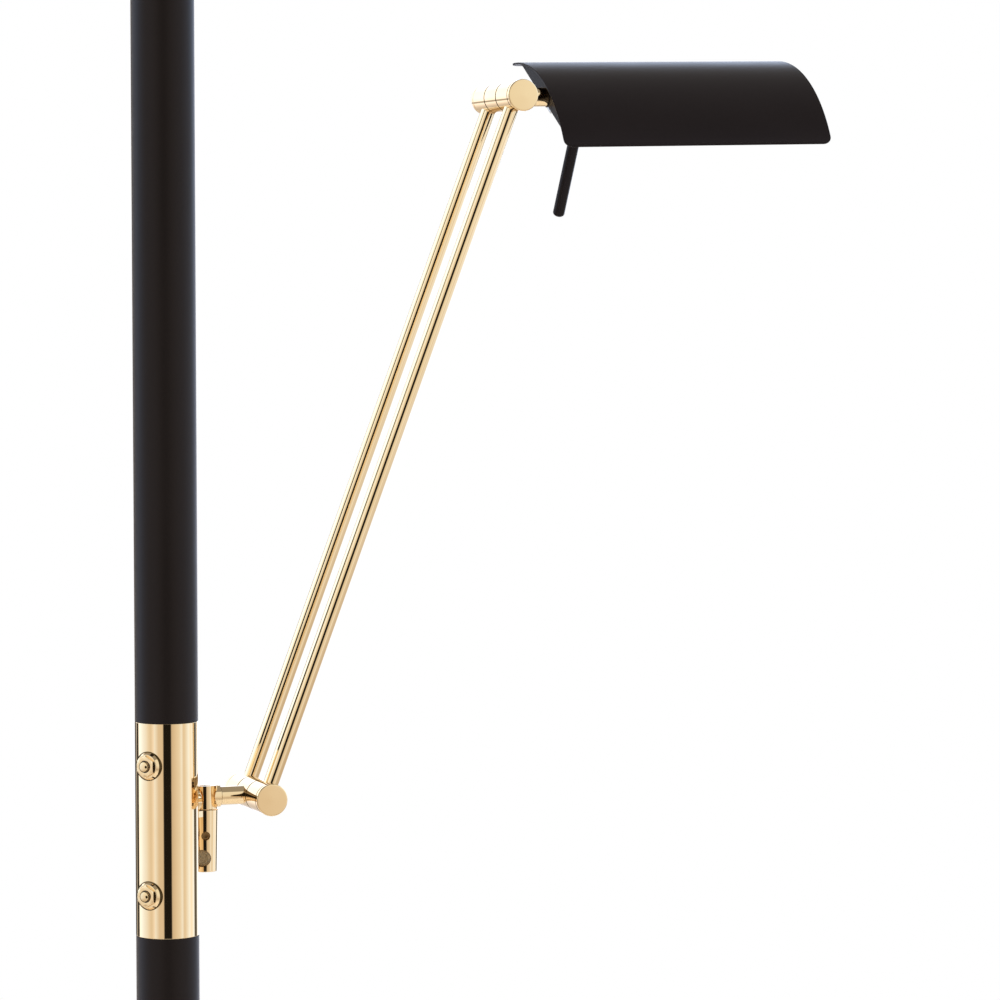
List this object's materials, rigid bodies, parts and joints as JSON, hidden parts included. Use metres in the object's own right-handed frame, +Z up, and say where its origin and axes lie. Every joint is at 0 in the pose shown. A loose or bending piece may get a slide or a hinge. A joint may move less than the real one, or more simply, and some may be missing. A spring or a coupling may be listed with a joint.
{
  "type": "uplight floor lamp with reading arm",
  "caption": "Free-standing floor lamp with an open uplight bowl on a tall round pole, a swinging twin-tube arm with a turning reading shade, and rotary dimmers on the pole.",
  "frame": {"origin": "centre of the floor pad's underside, where the lamp stands", "axes": "+Z up along the pole; the reading arm leans towards +X in a plane parallel to XZ; the arm bracket stands off the pole between +X and +Y"},
  "size_m": [0.6026, 0.3026, 1.7872],
  "materials": {
    "black_lacquer": "matte black powder coat",
    "polished_brass": "polished and lacquered brass",
    "zinc_steel": "zinc-plated steel",
    "grey_iron": "painted cast iron",
    "pad_felt": "pressed felt",
    "black_plastic": "matte black nylon",
    "dimmer_plastic": "dark moulded plastic",
    "turned_aluminium": "turned and sheet aluminium",
    "steatite": "white steatite ceramic",
    "lamp_glass": "clear quartz glass",
    "frosted_glass": "frosted heat-proof glass"
  },
  "bodies": {
    "stand": {"floor_pad": "pad_felt", "base_weight": "grey_iron", "base_cover": "black_lacquer", "cord_grommet": "black_plastic", "pole_foot": "black_lacquer", "base_stud": "zinc_steel", "base_washer": "zinc_steel", "base_nut": "zinc_steel", "lower_pole": "black_lacquer", "upper_pole": "black_lacquer", "lower_coupler": "turned_aluminium", "upper_coupler": "turned_aluminium", "pole_head": "turned_aluminium", "dimmer_sleeve": "polished_brass", "upper_dimmer": "dimmer_plastic", "lower_dimmer": "dimmer_plastic", "dimmer_rings": "polished_brass", "dimmer_nuts": "polished_brass", "arm_bracket": "polished_brass", "bracket_nut": "zinc_steel", "pivot_pin": "polished_brass", "pin_set_screw": "zinc_steel", "bracket_plug": "black_plastic", "uplight_bowl": "black_lacquer", "lamp_bracket": "zinc_steel", "bowl_screws": "zinc_steel", "left_lamp_socket": "steatite", "right_lamp_socket": "steatite", "halogen_tube": "lamp_glass", "cover_glass": "frosted_glass"},
    "upper_knob": {"upper_dimmer_knob": "polished_brass"},
    "lower_knob": {"lower_dimmer_knob": "polished_brass"},
    "swivel": {"swivel_knuckle": "polished_brass", "arm_stub": "polished_brass", "lower_middle_hub": "polished_brass"},
    "arm": {"lower_front_hub": "polished_brass", "lower_back_hub": "polished_brass", "upper_front_hub": "polished_brass", "upper_back_hub": "polished_brass", "front_arm_tube": "polished_brass", "back_arm_tube": "polished_brass", "lower_axle": "zinc_steel", "lower_axle_caps": "polished_brass", "upper_axle": "zinc_steel", "upper_axle_caps": "polished_brass", "axle_spacers": "black_plastic"},
    "head_carrier": {"upper_middle_hub": "polished_brass", "shade_stem": "polished_brass"},
    "reading_head": {"reading_shade": "black_lacquer", "shade_reflector": "turned_aluminium", "shade_near_plate": "black_lacquer", "shade_far_plate": "black_lacquer", "shade_block": "turned_aluminium", "stem_screw": "zinc_steel", "shade_handle": "black_lacquer", "reading_socket": "steatite", "reading_bulb": "lamp_glass"}
  },
  "joints": [
    {"name": "arm_swing", "type": "hinge", "parent": "stand", "child": "swivel", "pos_m": [0.02931, 0.01494, 1.0901], "axis": [0, 0, 1], "range_deg": [-48, 102]},
    {"name": "arm_tilt", "type": "hinge", "parent": "swivel", "child": "arm", "pos_m": [0.06381, 0.01494, 1.0901], "axis": [0, 1, 0], "range_deg": [-21, 95]},
    {"name": "head_tilt", "type": "hinge", "parent": "arm", "child": "head_carrier", "pos_m": [0.23554, 0.01494, 1.53886], "axis": [0, -1, 0], "range_deg": [-35, 80]},
    {"name": "shade_turn", "type": "hinge", "parent": "head_carrier", "child": "reading_head", "pos_m": [0.23554, 0.01494, 1.53886], "axis": [0.9998, 0, 0.0209], "range_deg": [-77, 58]},
    {"name": "upper_dimmer_turn", "type": "hinge", "parent": "stand", "child": "upper_knob", "pos_m": [0, 0, 1.1144], "axis": [-0.788, -0.6157, 0], "range_deg": [-150, 150]},
    {"name": "lower_dimmer_turn", "type": "hinge", "parent": "stand", "child": "lower_knob", "pos_m": [0, 0, 1.0322], "axis": [-0.788, -0.6157, 0], "range_deg": [-150, 150]}
  ]
}
